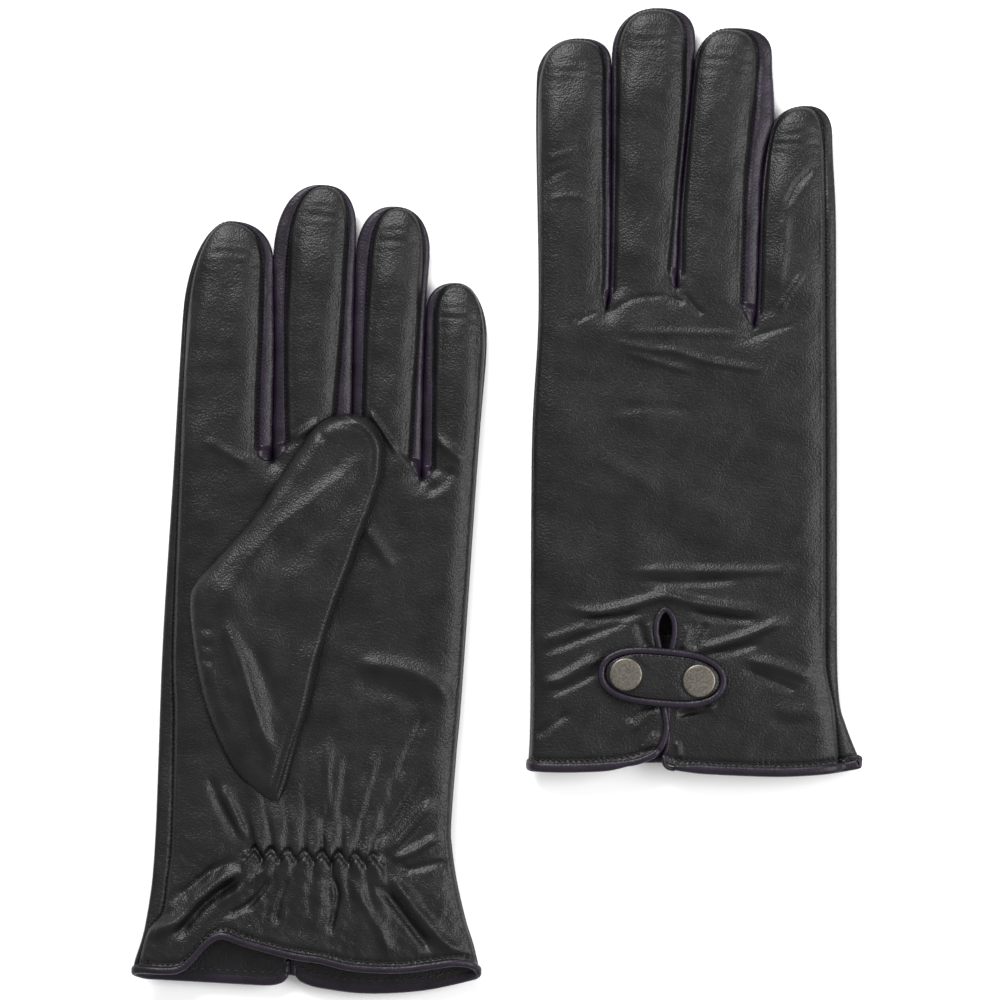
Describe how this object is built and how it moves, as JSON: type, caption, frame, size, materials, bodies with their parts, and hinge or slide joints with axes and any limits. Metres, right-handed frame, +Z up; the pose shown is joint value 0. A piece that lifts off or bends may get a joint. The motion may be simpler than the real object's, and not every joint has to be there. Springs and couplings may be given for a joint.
{
  "type": "pair of leather dress gloves",
  "caption": "Pair of slim lined leather dress gloves lying flat, with contrast fourchettes, bound hems, a slit cuff and a riveted snap tab on each back.",
  "frame": {"origin": "centre of the pair's box on the table surface", "axes": "+Y from the hems to the fingertips, +X from the left glove to the right glove, +Z up off the table"},
  "size_m": [0.219, 0.2958, 0.0178],
  "materials": {
    "black_leather": "smooth fine-grained black dress leather, soft satin",
    "purple_leather": "smooth dark aubergine leather, soft satin",
    "lining_cloth": "fine dark knitted lining, matt",
    "elastic_web": "narrow woven elastic",
    "gunmetal_caps": "brushed antique nickel",
    "plated_steel": "plain plated steel"
  },
  "bodies": {
    "left_hand": {"left_back_panel": "black_leather", "left_palm_panel": "black_leather", "left_lining": "lining_cloth", "left_cuff_facing": "black_leather", "left_wrist_elastic": "elastic_web", "left_hem_binding": "purple_leather", "left_keyhole_binding": "purple_leather", "left_thumb_base": "black_leather", "left_fourchette_index": "purple_leather", "left_fourchette_middle_inner": "purple_leather", "left_fourchette_middle_outer": "purple_leather", "left_fourchette_ring_inner": "purple_leather", "left_fourchette_ring_outer": "purple_leather", "left_fourchette_little": "purple_leather", "left_tab_root": "black_leather", "left_tab_root_backing": "black_leather", "left_tab_root_piping": "purple_leather", "left_popper_stud": "plated_steel", "left_popper_post": "plated_steel", "left_rivet_cap": "gunmetal_caps", "left_rivet_post": "plated_steel"},
    "left_thumb": {"left_thumb": "black_leather", "left_thumb_lining": "lining_cloth"},
    "left_tab": {"left_tab_top": "black_leather", "left_tab_backing": "black_leather", "left_tab_piping": "purple_leather", "left_popper_cap": "gunmetal_caps", "left_popper_socket": "plated_steel"},
    "right_hand": {"right_back_panel": "black_leather", "right_palm_panel": "black_leather", "right_lining": "lining_cloth", "right_cuff_facing": "black_leather", "right_wrist_elastic": "elastic_web", "right_hem_binding": "purple_leather", "right_keyhole_binding": "purple_leather", "right_thumb_base": "black_leather", "right_fourchette_index": "purple_leather", "right_fourchette_middle_inner": "purple_leather", "right_fourchette_middle_outer": "purple_leather", "right_fourchette_ring_inner": "purple_leather", "right_fourchette_ring_outer": "purple_leather", "right_fourchette_little": "purple_leather", "right_tab_root": "black_leather", "right_tab_root_backing": "black_leather", "right_tab_root_piping": "purple_leather", "right_popper_stud": "plated_steel", "right_popper_post": "plated_steel", "right_rivet_cap": "gunmetal_caps", "right_rivet_post": "plated_steel"},
    "right_thumb": {"right_thumb": "black_leather", "right_thumb_lining": "lining_cloth"},
    "right_tab": {"right_tab_top": "black_leather", "right_tab_backing": "black_leather", "right_tab_piping": "purple_leather", "right_popper_cap": "gunmetal_caps", "right_popper_socket": "plated_steel"}
  },
  "joints": [
    {"name": "right_glove_lift", "type": "slide", "parent": "left_hand", "child": "right_hand", "axis": [0, 0, 1], "range_m": [0, 0.1]},
    {"name": "left_thumb_open", "type": "hinge", "parent": "left_hand", "child": "left_thumb", "pos_m": [-0.06644, -0.09032, 0.0178], "axis": [0.1868, -0.9824, 0], "range_deg": [0, 80]},
    {"name": "right_thumb_open", "type": "hinge", "parent": "right_hand", "child": "right_thumb", "pos_m": [0.04597, -0.03439, 0], "axis": [-0.2413, 0.9704, 0], "range_deg": [0, 80]},
    {"name": "left_tab_open", "type": "hinge", "parent": "left_hand", "child": "left_tab", "pos_m": [-0.05966, -0.11555, 0.0012], "axis": [-0.143, -0.9897, 0], "range_deg": [0, 110]},
    {"name": "right_tab_open", "type": "hinge", "parent": "right_hand", "child": "right_tab", "pos_m": [0.05415, -0.05321, 0.0141], "axis": [0.087, 0.9962, 0], "range_deg": [0, 110]}
  ]
}
